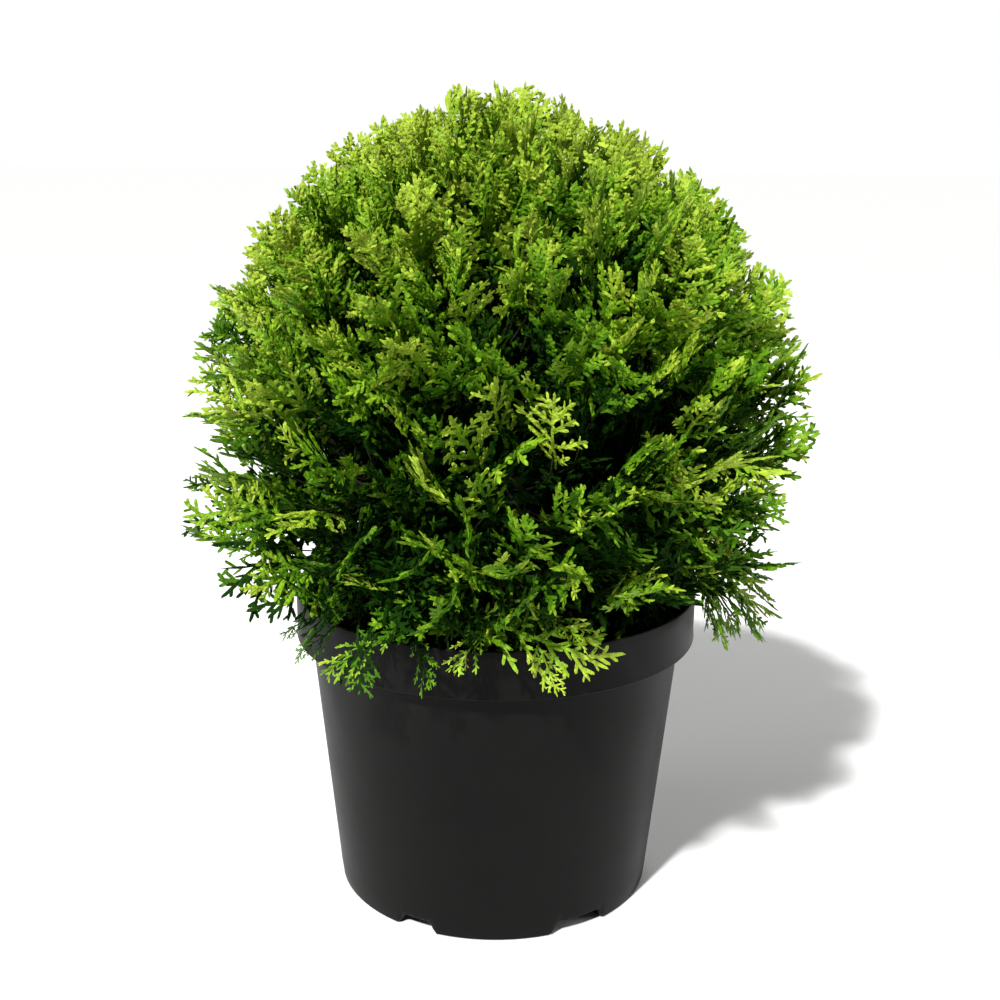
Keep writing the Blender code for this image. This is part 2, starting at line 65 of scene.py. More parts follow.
def makePiece(name, points, triangles, quads, material, slot, nodes, smooth=True):
    # vertices and faces go in as whole arrays, quads before triangles
    points = np.asarray(points, np.float32).reshape(-1, 3)
    triangles = np.asarray(triangles, np.int32).reshape(-1, 3)
    quads = np.asarray(quads, np.int32).reshape(-1, 4)
    mesh = bpy.data.meshes.new(name)
    mesh.vertices.add(len(points))
    mesh.vertices.foreach_set("co", points.ravel())
    corners = np.concatenate([quads.ravel(), triangles.ravel()])
    starts = np.concatenate([np.arange(len(quads)) * 4, len(quads) * 4 + np.arange(len(triangles)) * 3])
    mesh.loops.add(len(corners))
    mesh.loops.foreach_set("vertex_index", corners)
    mesh.polygons.add(len(starts))
    mesh.polygons.foreach_set("loop_start", starts.astype(np.int32))
    mesh.update(calc_edges=True)
    mesh.polygons.foreach_set("use_smooth", np.full(len(starts), smooth))
    mesh.materials.append(material)
    piece = newObject(name, mesh)
    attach(piece, "root")
    if nodes:
        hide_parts(*nodes)
    print(" ", name, len(triangles) + 2 * len(quads), "triangles")
    return piece


def fanTriangles(pole, ring, upward):
    # a fan from one pole vertex to a ring of vertices
    fan = np.stack([np.full(len(ring), pole), ring, np.roll(ring, -1)], -1)
    return fan if upward else fan[:, ::-1]


def closedGrid(rows, columns, outward):
    # quads of a grid with closed columns, and fans from its end rings to the two poles that follow it
    row, column = np.meshgrid(np.arange(rows - 1), np.arange(columns), indexing="ij")
    ahead = (column + 1) % columns
    low, high = row * columns, (row + 1) * columns
    quads = np.stack([low + column, low + ahead, high + ahead, high + column], -1).reshape(-1, 4)
    ring, pole = np.arange(columns), rows * columns
    fans = [fanTriangles(pole, ring, not outward), fanTriangles(pole + 1, pole - columns + ring, outward)]
    return np.concatenate(fans), quads if outward else quads[:, ::-1]


def waves(points, length, seed, count=7):
    # a smooth uneven field: the sum of sines along random directions over the root of their number
    rng = default_rng(seed)
    directions = unit(rng.normal(size=(count, 3))) * tau / (length * rng.uniform(0.7, 1.5, (count, 1)))
    phases = rng.uniform(0, tau, count)
    return np.sin(points @ directions.T + phases).sum(-1) / sqrt(count)


def swing(rng, half, size=None):
    # even draws between minus and plus the half
    return rng.uniform(-half, half, size)


# Materials

def setInputs(node, values):
    for key, value in values.items():
        node.inputs[key].default_value = value


def newMaterial(name, look):
    material = bpy.data.materials.new(name)
    material.use_nodes = True
    shader = material.node_tree.nodes["Principled BSDF"]
    finish = {"Base Color": (*look["colour"], 1), "Roughness": look["roughness"]}
    setInputs(shader, {**finish, "Specular IOR Level": look["specular"]})
    return material, material.node_tree, shader


def texture(tree, values, kind="ShaderNodeTexNoise", output="Fac"):
    # output of a texture that reads the piece's own object coordinates
    place, node = tree.nodes.new("ShaderNodeTexCoord"), tree.nodes.new(kind)
    setInputs(node, values)
    tree.links.new(place.outputs["Object"], node.inputs["Vector"])
    return node.outputs[output]


def varyColour(tree, shader, driver, stops):
    # colour from a texture through a ramp of (position, colour) stops
    ramp = tree.nodes.new("ShaderNodeValToRGB")
    elements = ramp.color_ramp.elements
    for k, (position, colour) in ((0, stops[0]), (1, stops[-1])):
        elements[k].position, elements[k].color = position, (*colour, 1)
    for position, colour in stops[1:-1]:
        elements.new(position).color = (*colour, 1)
    tree.links.new(driver, ramp.inputs["Fac"])
    tree.links.new(ramp.outputs["Color"], shader.inputs["Base Color"])


def addBump(tree, shader, driver, strength, depth):
    # a texture's value as a height of up to the depth
    bump = tree.nodes.new("ShaderNodeBump")
    setInputs(bump, dict(Strength=strength, Distance=depth))
    tree.links.new(driver, bump.inputs["Height"])
    tree.links.new(bump.outputs["Normal"], shader.inputs["Normal"])


def shades(colour, stops):
    # ramp stops from (position, share of the colour), with no part above 1
    return [(place, tuple(min(1.0, part * share) for part in colour)) for place, share in stops]


def grainMaterial(name, look):
    # colour and relief both follow one noise
    material, tree, shader = newMaterial(name, look)
    grain = texture(tree, look["grain"])
    varyColour(tree, shader, grain, look["stops"])
    addBump(tree, shader, grain, *look["bump"])
    return material


leafSurface = dict(drift=dict(Scale=260, Detail=2.0), driftStops=((0.3, 0.72), (0.52, 1.0), (0.74, 1.3)),
    domes=dict(Scale=560), bump=(0.9, -0.0008))


def leafMaterial(name, look):
    # waxy scale leaves: little domes 1.8 mm apart, and a slight drift of tone along the twig
    material, tree, shader = newMaterial(name, look)
    stops = shades(look["colour"], leafSurface["driftStops"])
    varyColour(tree, shader, texture(tree, leafSurface["drift"]), stops)
    domes = texture(tree, leafSurface["domes"], "ShaderNodeTexVoronoi", "Distance")
    addBump(tree, shader, domes, *leafSurface["bump"])
    return material


# Camera at the photograph's place, and the studio

camera = dict(place=(0.0018, -0.77, 0.424), pitchDown=14.69, roll=0.57, lens=51.2, sensor=36, far=60)


def makeCamera():
    # pitched down, then rolled about its line of sight
    lens = bpy.data.cameras.new("camera")
    lens.lens, lens.sensor_width, lens.clip_end = camera["lens"], camera["sensor"], camera["far"]
    thing = newObject("camera", lens)
    level = Euler((radians(90 - camera["pitchDown"]), 0, 0)).to_matrix()
    turn = level @ Matrix.Rotation(radians(camera["roll"]), 3, "Z")
    thing.location = camera["place"]
    thing.rotation_euler = turn.to_euler()
    bpy.context.scene.camera = thing


studio = dict(
    areas=dict(
        left=dict(place=(-1.5, -0.25, 0.45), aim=(0, 0, 0.15), size=(0.7, 1.3), power=9),
        right=dict(place=(1.5, -0.1, 0.5), aim=(0, 0, 0.15), size=(0.6, 1.2), power=8),
        back=dict(place=(0.35, 1.4, 1.15), aim=(0, 0, 0.25), size=(1.2, 1.2), power=15),
    ),
    sun=dict(place=(-0.42, -0.84, 1.0), strength=5.6, spread=radians(4)),
    sky=dict(Color=(1, 1, 1, 1), Strength=0.08), backdrop=dict(Color=(1, 1, 1, 1), Strength=1.0),
    floor=dict(colour=(0.745, 0.745, 0.74), roughness=0.9, specular=0.1), floorHalf=14.0,
)


def aimLamp(name, lamp, place, aim):
    thing = newObject(name, lamp)
    thing.location = place
    thing.rotation_euler = (Vector(aim) - Vector(place)).to_track_quat("-Z", "Y").to_euler()


def makeLights():
    for name, spec in studio["areas"].items():
        lamp = bpy.data.lights.new(name, "AREA")
        lamp.shape = "RECTANGLE"
        lamp.size, lamp.size_y = spec["size"]
        lamp.energy = spec["power"]
        aimLamp(name, lamp, spec["place"], spec["aim"])
    lamp = bpy.data.lights.new("sun", "SUN")
    lamp.energy, lamp.angle = studio["sun"]["strength"], studio["sun"]["spread"]
    aimLamp("sun", lamp, studio["sun"]["place"], (0, 0, 0))


def makeSky():
    # a dim white sky gives light, and a full white one shows behind the plant
    world = bpy.data.worlds.new("studio")
    bpy.context.scene.world = world
    world.use_nodes = True
    tree = world.node_tree
    sky, backdrop = tree.nodes["Background"], tree.nodes.new("ShaderNodeBackground")
    setInputs(sky, studio["sky"])
    setInputs(backdrop, studio["backdrop"])
    path, mix = tree.nodes.new("ShaderNodeLightPath"), tree.nodes.new("ShaderNodeMixShader")
    tree.links.new(path.outputs["Is Camera Ray"], mix.inputs["Fac"])
    tree.links.new(sky.outputs["Background"], mix.inputs[1])
    tree.links.new(backdrop.outputs["Background"], mix.inputs[2])
    tree.links.new(mix.outputs["Shader"], tree.nodes["World Output"].inputs["Surface"])
    bpy.context.scene.view_settings.view_transform = "Standard"


def makeFloor():
    half = studio["floorHalf"]
    corners = [(-half, -half, 0), (half, -half, 0), (half, half, 0), (-half, half, 0)]
    mesh = bpy.data.meshes.new("floor")
    mesh.from_pydata(corners, [], [(0, 1, 2, 3)])
    mesh.materials.append(newMaterial("studioFloor", studio["floor"])[0])
    floor = newObject("floor", mesh)


makeCamera()
makeLights()
makeSky()
makeFloor()
print("camera and studio")


# The pot: a moulded shell turned about Z, whose foot ring is notched

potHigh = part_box("pot")[1]
pot = dict(
    rimRadius=potHigh.x, height=potHigh.z, collarHeight=0.0265, bodyTop=0.1044, baseRadius=0.0892,
    wall=0.0018, floor=0.002, lip=0.0007, fillet=0.0012, corner=0.0014, edge=0.0006, collarStep=0.0001,
    insideStep=(0.0006, 0.0046),  # above the collar's foot, where the inside widens
    topDraft=(0.0002, 0.006), footDraft=(0.0003, 0.004),  # and how far from the collar's ends
    bodyRows=(0.13, 0.1, 0.07, 0.04, 0.015, 0.0085), columns=288, sharpAbove=radians(38),
)
foot = dict(
    height=0.007, width=0.008, notches=6, notchAngles=(radians(20), radians(13)),
    firstNotch=radians(-58), notchSlant=radians(2.6), notchRoof=0.0066,
    bossRadius=0.016, bossBevel=0.0003, bevelHeight=0.0004,
)
plastic = dict(
    colour=(0.0052, 0.0052, 0.005), roughness=0.42, specular=0.08, gloss=(0.38, 0.5),
    haze=dict(Scale=14, Detail=6.0, Roughness=0.6), hazeStops=((0.3, 0.86), (0.7, 1.25)),
    peel=dict(Scale=900, Detail=2.0), bump=(0.12, 0.0003),
)


def footLift(angles):
    # height of the ring's edge: 0 on a foot, the roof's in a notch, and roof * t^2 (3 - 2t) over the slant;
    # wide and narrow notches take turns
    step = tau / foot["notches"]
    number = np.round((angles - foot["firstNotch"]) / step)
    away = np.abs(angles - foot["firstNotch"] - number * step)
    width = np.where(number % 2 == 0, *foot["notchAngles"])
    share = np.clip((width / 2 - away) / foot["notchSlant"] + 0.5, 0, 1)
    return foot["notchRoof"] * share * share * (3 - 2 * share)


def arc(across, height, radius, start, end, count):
    # (across + radius * cos t, height + radius * sin t)
    turn = np.radians(np.linspace(start, end, count))
    return [(across + radius * cos(t), height + radius * sin(t)) for t in turn]


def potProfile():
    # (radius, height) up the inside, over the rim and down to the body: radius = base + slope * height
    keys = ("rimRadius", "height", "bodyTop", "baseRadius", "wall", "floor", "lip", "fillet")
    rim, top, body, base, wall, bottom, lip, fillet = (pot[key] for key in keys)
    collarFoot = top - pot["collarHeight"]
    floorTop = foot["height"] + bottom
    slope = (body - base) / collarFoot
    innerFloor = base + slope * floorTop - wall
    low, high = pot["insideStep"]
    inside = [(innerFloor * 0.5, floorTop), (innerFloor - bottom, floorTop), (innerFloor, floorTop + bottom),
              (body - wall, collarFoot + low), (rim - wall, collarFoot + high)]
    over = arc(rim - wall / 2, top - wall / 2, wall / 2, 180, 0, 7)
    (topDraft, fromTop), (footDraft, fromFoot) = pot["topDraft"], pot["footDraft"]
    band = [(rim - topDraft, top - fromTop), (rim - footDraft, collarFoot + fromFoot)]
    under = arc(rim - lip, collarFoot + lip, lip, 20, -90, 6)
    step = [(body + fillet, collarFoot + pot["collarStep"])]
    hollow = arc(body + fillet, collarFoot - fillet, fillet, 90, 180, 4)[1:]
    side = [(base + slope * z, z) for z in pot["bodyRows"]]
    return inside + over + band + under + step + hollow + side


def makePot():
    # point = (radius cos a, radius sin a, height); the last rows are the notched foot ring and the boss
    columns, base, corner, edge = (pot[key] for key in ("columns", "baseRadius", "corner", "edge"))
    inner, roof, boss, bevel = base - foot["width"], foot["height"], foot["bossRadius"], foot["bossBevel"]
    angles = np.arange(columns) * tau / columns
    lift = footLift(angles)
    rows = potProfile()
    for turn in np.radians((0, 30, 60, 90)):
        rows.append((base - corner + corner * np.cos(turn), lift + corner * (1 - np.sin(turn))))
    rows += [(inner + edge, lift), (inner, lift + edge * (1 - lift / roof)), (inner, roof)]
    rows += [(boss, roof), (boss - bevel, foot["bevelHeight"]), (boss - 2 * bevel, 0.0)]
    radius, height = (np.stack([row[k] + 0 * lift for row in rows]) for k in (0, 1))
    ring = np.stack([radius * np.cos(angles), radius * np.sin(angles), height], -1)
    points = np.concatenate([ring.reshape(-1, 3), [[0, 0, roof + pot["floor"]], [0, 0, 0]]])
    faces = closedGrid(len(rows), columns, False)
    piece = makePiece("pot_shell", points, *faces, potMaterial(), "black_plastic", ["pot"])
    piece.data.set_sharp_from_angle(angle=pot["sharpAbove"])


def potMaterial():
    # satin plastic: a faint haze of dust that also dulls the gloss, and fine orange-peel
    material, tree, shader = newMaterial("potPlastic", plastic)
    stops, (low, high) = plastic["hazeStops"], plastic["gloss"]
    haze = texture(tree, plastic["haze"])
    varyColour(tree, shader, haze, shades(plastic["colour"], stops))
    gloss = tree.nodes.new("ShaderNodeMapRange")
    setInputs(gloss, {"From Min": stops[0][0], "From Max": stops[1][0], "To Min": low, "To Max": high})
    tree.links.new(haze, gloss.inputs["Value"])
    tree.links.new(gloss.outputs["Result"], shader.inputs["Roughness"])
    addBump(tree, shader, texture(tree, plastic["peel"]), *plastic["bump"])
    return material


makePot()
print("pot")


# Potting mix: an uneven top that sinks towards the collar, with crumbs of bark on it

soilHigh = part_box("soil")[1]
soil = dict(
    top=soilHigh.z, radius=soilHigh.x, levelRadius=0.032, edgeDrop=0.003, depth=0.009, relief=0.0012,
    waves=((0.6, 0.03, 3), (0.4, 0.009, 4)),  # share of the relief, wave length, seed
    rings=36, columns=144,
)
soilSurface = dict(
    colour=(0.03, 0.018, 0.01), roughness=0.95, specular=0.2,
    stops=((0.32, (0.01, 0.006, 0.004)), (0.52, (0.03, 0.018, 0.01)), (0.72, (0.06, 0.036, 0.02))),
    grain=dict(Scale=320, Detail=5.0, Roughness=0.7), bump=(0.8, 0.001),
)
crumbs = dict(count=1500, size=(0.0012, 0.0044), stretch=(0.3, 1.0), uneven=(0.75, 1.2), margin=0.005,
              lift=0.0003, seed=21)


def soilHeight(x, y):
    # level by the trunk, sinking evenly outwards, plus two sizes of waves
    flat = np.stack([x, y, 0 * x], -1)
    level = soil["levelRadius"]
    sink = soil["edgeDrop"] * np.clip((np.hypot(x, y) - level) / (soil["radius"] - level), 0, 1)
    uneven = sum(share * waves(flat, length, seed) for share, length, seed in soil["waves"])
    return soil["top"] - sink - soil["relief"] + soil["relief"] * uneven


def makeSoil(material):
    # rings at the soil's height, and a last one straight below to a flat underside
    columns, underside = soil["columns"], soil["top"] - soil["depth"]
    angles = np.arange(columns) * tau / columns
    share = (np.arange(soil["rings"]) + 1) / soil["rings"]
    x = soil["radius"] * share[:, None] * np.cos(angles)
    y = soil["radius"] * share[:, None] * np.sin(angles)
    top = np.stack([x, y, soilHeight(x, y)], -1)
    low = top[-1].copy()
    low[:, 2] = underside
    middle = float(soilHeight(np.zeros(1), np.zeros(1))[0])
    points = np.concatenate([top.reshape(-1, 3), low, [[0, 0, middle], [0, 0, underside]]])
    faces = closedGrid(len(top) + 1, columns, False)
    makePiece("soil_bed", points, *faces, material, "potting_mix", ["soil"])


def makeCrumbs(material):
    # octahedra stretched and turned at random: point = place + turn * (size * corner)
    rng = default_rng(crumbs["seed"])
    count = crumbs["count"]
    radius = (soil["radius"] - crumbs["margin"]) * np.sqrt(rng.uniform(0.02, 1, count))
    angle = rng.uniform(0, tau, count)
    place = np.stack([radius * np.cos(angle), radius * np.sin(angle), 0 * radius], -1)
    place[:, 2] = soilHeight(place[:, 0], place[:, 1]) + crumbs["lift"]
    corners = np.array([(1, 0, 0), (0, 1, 0), (-1, 0, 0), (0, -1, 0), (0, 0, 1), (0, 0, -1)], float)
    size = rng.uniform(*crumbs["size"], (count, 1)) * rng.uniform(*crumbs["stretch"], (count, 3))
    first = unit(rng.normal(size=(count, 3)))
    second = unit(np.cross(first, rng.normal(size=(count, 3))))
    turn = np.stack([first, second, np.cross(first, second)], -1)
    local = corners[None] * size[:, None] * rng.uniform(*crumbs["uneven"], (count, len(corners), 1))
    points = place[:, None] + np.einsum("nij,nkj->nki", turn, local)
    faces = [(0, 1, 4), (1, 2, 4), (2, 3, 4), (3, 0, 4), (1, 0, 5), (2, 1, 5), (3, 2, 5), (0, 3, 5)]
    triangles = np.arange(count)[:, None, None] * len(corners) + np.array(faces)
    makePiece("soil_crumbs", points, triangles, [], material, "potting_mix", [], smooth=False)


pottingMix = grainMaterial("pottingMix", soilSurface)  # peat and bark fines
makeSoil(pottingMix)
makeCrumbs(pottingMix)
print("potting mix")


# The crown's plan: the same egg, rings and draws as the solids have

crown = dict(
    middle=np.array((0.003, 0.0, 0.25)), radius=0.175, rise=0.197, drop=0.124, risePower=1.85, dropPower=2.4,
    rings=dict(
        top=dict(count=1, rise=90, first=0, share=0.62),
        upper=dict(count=5, rise=37, first=-108, share=0.62, leavesAt=0.226, radius=0.0026),
        middle=dict(count=8, rise=5, first=-90, share=0.62, leavesAt=0.194, radius=0.0024),
        lower=dict(count=7, rise=-29, first=-90, share=0.75, leavesAt=0.172, radius=0.0021),
    ),
    turnUneven=5, riseUneven=3, fullness=(0.955, 1.0), seed=7,
)
trunk = dict(
    foot=0.1605, tip=0.318, radius=0.0085, tipRadius=0.0026, flare=0.007, flareHeight=0.012,
    sway=0.003, swayTurns=(5.2, 4.1), swayDepth=0.7, clear=0.0003, crowding=1.5, steps=60, sides=28,
    relief=0.07, roots=4, rootRelief=0.16, rootHeight=0.01, rootTurn=0.8, seed=5,
)
bough = dict(
    spiral=0.0036, taper=0.62, lean=0.45, arch=0.3, fromTip=0.004, steps=26, sides=12, relief=0.09,
    wander=0.0012, wanderLength=0.05, wanderShares=(0.3, 0.7, 0.5), wanderSeed=40, reliefSeed=60,
)


def crownReach(rays):
    # distance along each ray at which (level / radius)^power + (height / half)^power = 1
    above = rays[..., 2] > 0
    half = np.where(above, crown["rise"], crown["drop"])
    power = np.where(above, crown["risePower"], crown["dropPower"])
    level = np.hypot(rays[..., 0], rays[..., 1]) / crown["radius"]
    return (level**power + (np.abs(rays[..., 2]) / half) ** power) ** (-1 / power)


def directionOf(azimuth, rise):
    # unit vector at an azimuth from +X and a rise above the level
    return np.array((cos(rise) * cos(azimuth), cos(rise) * sin(azimuth), sin(rise)))


def planMasses():
    # anchor = middle + heading * reach * the ring's share; the headings are a little uneven
    rng = default_rng(crown["seed"])
    planned = []
    for ring, spec in crown["rings"].items():
        for i in range(spec["count"]):
            azimuth = radians(spec["first"]) + i * tau / spec["count"]
            rise = radians(spec["rise"])
            fullness = 1.0
            if spec["count"] > 1:
                azimuth += radians(swing(rng, crown["turnUneven"]))
                rise += radians(swing(rng, crown["riseUneven"]))
                fullness = rng.uniform(*crown["fullness"])
            heading = directionOf(azimuth, rise)
            anchor = crown["middle"] + heading * crownReach(heading) * spec["share"]
            mass = dict(ring=ring, number=i, heading=heading, anchor=anchor, fullness=fullness)
            planned.append(dict(mass, name=ring if spec["count"] == 1 else f"{ring}_{i + 1}"))
    return planned


def trunkPoint(height):
    # the trunk's middle: a sway of sine across and cosine in depth that grows with height
    up = (height - trunk["foot"]) / (trunk["tip"] - trunk["foot"])
    sway, (across, back) = trunk["sway"] * up, trunk["swayTurns"]
    depth = sway * np.cos(back * up) * trunk["swayDepth"]
    return np.stack([sway * np.sin(across * up), depth, height + 0 * up], -1)


def trunkRadius(height):
    # a straight taper, and a flare that dies away above the soil
    up = (height - trunk["foot"]) / (trunk["tip"] - trunk["foot"])
    flare = trunk["flare"] * np.exp(-(height - trunk["foot"]) / trunk["flareHeight"])
    return trunk["radius"] + (trunk["tipRadius"] - trunk["radius"]) * up + flare


masses = planMasses()


# Limbs: profiles carried along paths

# strips of bark: share of the relief, number round the limb, how far they wander, how fast
barkStrips = ((0.55, 5, 2.5, 5), (0.45, 9, -3.0, 7))
barkSurface = dict(
    colour=(0.045, 0.026, 0.015), roughness=0.85, specular=0.2,
    stops=((0.3, (0.014, 0.008, 0.005)), (0.52, (0.045, 0.026, 0.015)), (0.72, (0.11, 0.074, 0.045))),
    grain=dict(Scale=180, Detail=6.0, Roughness=0.65, Distortion=0.4), bump=(0.9, 0.0008),
)


def tubes(paths, radii, sides, relief=np.ones((1, 1, 1))):
    # point = path(t) + radius(t) * relief(t, a) * (side * cos a + other * sin a), with a pole at each end
    paths = np.asarray(paths, float)
    count, steps = paths.shape[:2]
    tangent = unit(np.gradient(paths, axis=1))
    whole = unit(paths[:, -1] - paths[:, 0])
    reference = np.where(np.abs(whole[:, :1]) < 0.8, (1.0, 0.0, 0.0), (0.0, 1.0, 0.0))[:, None]
    side = unit(np.cross(tangent, reference))
    other = np.cross(tangent, side)
    turn = np.arange(sides) * tau / sides
    spoke = side[:, :, None] * np.cos(turn)[:, None] + other[:, :, None] * np.sin(turn)[:, None]
    ring = paths[:, :, None] + np.asarray(radii)[:, :, None, None] * relief[..., None] * spoke
    points = np.concatenate([ring.reshape(count, -1, 3), paths[:, :1], paths[:, -1:]], 1)
    first = (np.arange(count) * points.shape[1])[:, None, None]
    fans, quads = closedGrid(steps, sides, True)
    return points, first + fans, first + quads


def barkRelief(steps, sides, seed, depth):
    # 1 + depth * sum of share * sin(number * a + wander * sin(rate * t + late) + early)
    phases = default_rng(seed).uniform(0, tau, (len(barkStrips), 2))
    along = np.linspace(0, 1, steps)[:, None]
    turn = np.arange(sides)[None] * tau / sides
    strips = sum(share * np.sin(number * turn + wander * np.sin(rate * along + late) + early)
                 for (share, number, wander, rate), (late, early) in zip(barkStrips, phases))
    return 1 + depth * strips


def curve(start, bend, end, steps):
    # start (1-t)^2 + bend 2t(1-t) + end t^2, for many curves at once
    t = np.linspace(0, 1, steps)[:, None]
    start, bend, end = (np.atleast_2d(p)[:, None] for p in (start, bend, end))
    return start * (1 - t) ** 2 + bend * 2 * t * (1 - t) + end * t**2


def makeTrunk(material):
    # rows are closer at the foot, where roots stand out: relief * exp(-height) * sin(roots * a)
    steps, sides, low, clear = (trunk[key] for key in ("steps", "sides", "foot", "clear"))
    heights = low + clear + np.linspace(0, 1, steps) ** trunk["crowding"] * (trunk["tip"] - low - clear)
    turn = np.arange(sides)[None] * tau / sides
    nearFoot = np.exp(-(heights - low) / trunk["rootHeight"])[:, None]
    roots = trunk["rootRelief"] * nearFoot * np.sin(trunk["roots"] * turn + trunk["rootTurn"])
    relief = barkRelief(steps, sides, trunk["seed"], trunk["relief"]) + roots
    shape = tubes(trunkPoint(heights)[None], trunkRadius(heights)[None], sides, relief[None])
    makePiece("trunk_bark", *shape, material, "bark", ["trunk"])


def planBough(mass):
    # a curve with one bend from the trunk's middle to the mass's anchor, by the solids' rule
    spec = crown["rings"][mass["ring"]]
    if mass["ring"] == "top":
        start = trunkPoint(np.array(trunk["tip"] - bough["fromTip"]))
        return start, (start + mass["anchor"]) / 2, trunk["tipRadius"]
    place = (mass["number"] * 3) % spec["count"]
    start = trunkPoint(np.array(spec["leavesAt"] + bough["spiral"] * place))
    flat = unit(mass["heading"] * (1, 1, 0))
    reach = norm(mass["anchor"] - start)
    arch = np.array((0, 0, bough["arch"] * max(0.0, mass["anchor"][2] - start[2])))
    return start, start + flat * bough["lean"] * reach + arch, spec["radius"]


def makeBoughs(material):
    # every bough runs on into its mass, where the twigs leave it
    steps, sides = bough["steps"], bough["sides"]
    paths, radii, reliefs = [], [], []
    for k, mass in enumerate(masses):
        start, bend, radius = planBough(mass)
        path = curve(start, bend, mass["anchor"], steps)[0]
        wander = bough["wander"] * waves(path, bough["wanderLength"], bough["wanderSeed"] + k)[:, None]
        paths.append(path + wander * bough["wanderShares"])
        radii.append(radius * (1 - bough["taper"] * np.linspace(0, 1, steps)))
        reliefs.append(barkRelief(steps, sides, bough["reliefSeed"] + k, bough["relief"]))
        mass["bough"] = paths[-1]
    nodes = [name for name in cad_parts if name.startswith("bough")]
    makePiece("bough_bark", *tubes(paths, radii, sides, np.array(reliefs)), material, "bark", nodes)


bark = grainMaterial("bark", barkSurface)  # thin and fibrous, greyer where it has flaked
makeTrunk(bark)
makeBoughs(bark)
print("trunk and boughs")


# One spray: a fan whose axis bears side twigs by turns, and they bear tips by turns

spray = dict(
    piece=0.16, sway=0.012, overlap=1.2, axisWidth=1.15, axisTaper=0.2,
    leader=(0.66, 0.95), leaderUneven=(0.7, 1.15), leaderShrink=0.4,
    sides=5.5, firstSide=0.12, lastSide=0.86, sideUneven=0.35, spreadBase=50, spreadTip=34, angleUneven=8,
    halfWidth=0.33, widest=0.36, powers=(0.6, 0.75), reachUneven=(0.7, 1.2), leastReach=0.12,
    straighten=0.34, lift=0.12, sideOverlap=1.22, twigWidth=0.054, outAlong=0.3, outAcross=0.7, outTip=0.12,
    tipLength=0.115, tipWidth=0.047, tipSpacing=0.042, tipAngle=38, tipLift=0.12, tipUneven=(0.6, 1.15),
    tipShrink=0.35, widthUneven=(0.85, 1.02), lastTip=0.9,
    forms=10, seed=11,
)
# how far apart a fan's twigs and tips are set, and how wide they are
styles = dict(full=(1.0, 1.0), feathered=(1.25, 0.98), shade=(1.5, 1.42), deep=(2.1, 2.25))


def unevenAngle(rng, degrees):
    return radians(degrees + swing(rng, spray["angleUneven"]))


def tipRow(rng, start, angle, lift, sizes, shrink, *ranks):
    # one tip, at an angle to the fan's axis, that rises or sinks a little
    size = spray["tipLength"] * rng.uniform(*sizes) * shrink
    end = start + size * np.array((sin(angle), cos(angle), rng.normal(lift, spray["tipLift"])))
    return (*start, *end, spray["tipWidth"] * rng.uniform(*spray["widthUneven"]), *ranks, 1)


def axisRows(rng, gap):
    # the axis in pieces, and the leader's tips to its left and right
    rows = []
    pieces = round(1 / spray["piece"])
    for i in range(pieces):
        y, sway = i / pieces, swing(rng, spray["sway"])
        width = spray["tipWidth"] * (spray["axisWidth"] - spray["axisTaper"] * y)
        rows.append((0, y, 0, sway, y + spray["overlap"] / pieces, 0, width, y, 0, i, 0))
    places = np.arange(*spray["leader"], spray["tipSpacing"] * gap)
    for j, y in enumerate(places):
        angle = (1 if j % 2 else -1) * unevenAngle(rng, spray["tipAngle"])
        shrink = 1 - spray["leaderShrink"] * j / len(places)
        start = np.array((0.0, y, 0.0))
        rows.append(tipRow(rng, start, angle, 0, spray["leaderUneven"], shrink, y, 0, int(y * pieces)))
    return rows


def sideReach(rng, s, angle):
    # length of a side twig: the fan's half width there over the sine of the angle
    widest, (before, after) = spray["widest"], spray["powers"]
    wide = (s / widest) ** before if s < widest else (max(0, 1 - s) / (1 - widest)) ** after
    reach = spray["halfWidth"] * wide * rng.uniform(*spray["reachUneven"]) / sin(angle)
    return max(spray["leastReach"], reach)


def sprayForm(rng, gap, widen):
    # rows of (x, y, z at the foot, x, y, z at the end, width, outwardness, twig, part, whether a tip) for the
    # pieces of one fan of length 1; twig 0 is the axis
    rows = axisRows(rng, gap)
    count = round(2 * spray["sides"] / gap)
    for k in range(count):
        place = k + swing(rng, spray["sideUneven"])
        s = spray["firstSide"] + (spray["lastSide"] - spray["firstSide"]) * place / (count - 1)
        hand = 1 if k % 2 else -1
        angle = unevenAngle(rng, spray["spreadBase"] + (spray["spreadTip"] - spray["spreadBase"]) * s)
        reach = sideReach(rng, s, angle)
        lift = rng.normal(0, spray["lift"])
        start = np.array((0.0, s, 0.0))
        parts = max(1, round(reach / spray["piece"]))
        along = reach / parts
        tips = max(0, round(along / (spray["tipSpacing"] * gap)))
        for i in range(parts):
            bent = hand * angle * (1 - spray["straighten"] * i / parts)
            step = np.array((sin(bent), cos(bent), lift)) * along
            out = spray["outAlong"] * s + spray["outAcross"] * min(1, (i + 1) / parts)
            end = start + spray["sideOverlap"] * step
            rows.append((*start, *end, spray["twigWidth"], out, k + 1, i, 0))
            for j in range(tips):
                share = (j + 0.7) / (tips + 0.2)
                if (i + share) / parts > spray["lastTip"]:
                    continue
                tipAngle = bent + (1 if (i * tips + j) % 2 else -1) * unevenAngle(rng, spray["tipAngle"])
                shrink = 1 - spray["tipShrink"] * (i + share) / parts
                tipOut = min(1.0, out + spray["outTip"])
                rows.append(tipRow(rng, start + share * step, tipAngle, lift, spray["tipUneven"], shrink,
                                   tipOut, k + 1, i))
            start = start + step
    form = np.array(rows)
    form[:, 6] *= widen
    return form


